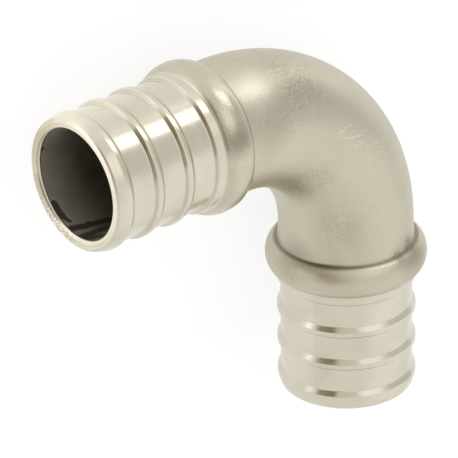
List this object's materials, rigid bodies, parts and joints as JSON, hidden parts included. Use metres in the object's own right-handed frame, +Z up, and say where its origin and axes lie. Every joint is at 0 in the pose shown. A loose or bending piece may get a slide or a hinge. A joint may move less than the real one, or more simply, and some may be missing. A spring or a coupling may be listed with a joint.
{
  "type": "pipe elbow fitting",
  "caption": "Metal 90 degree elbow with a ribbed insert at each end, for joining two flexible pipes held by crimp rings at a corner.",
  "frame": {"origin": "on the surface that the elbow lies on, under the middle of its bounding box", "axes": "+Z up as the elbow lies at rest on both collars and the outside of the bend; one insert points along -X and rises 5.9 degrees to its tip, the other points along -Y and rises 6.9 degrees"},
  "size_m": [0.054, 0.0536, 0.021],
  "materials": {
    "metal": "bead-blasted casting with turned ends"
  },
  "bodies": {
    "root": {"elbow_body": "metal"}
  },
  "joints": []
}
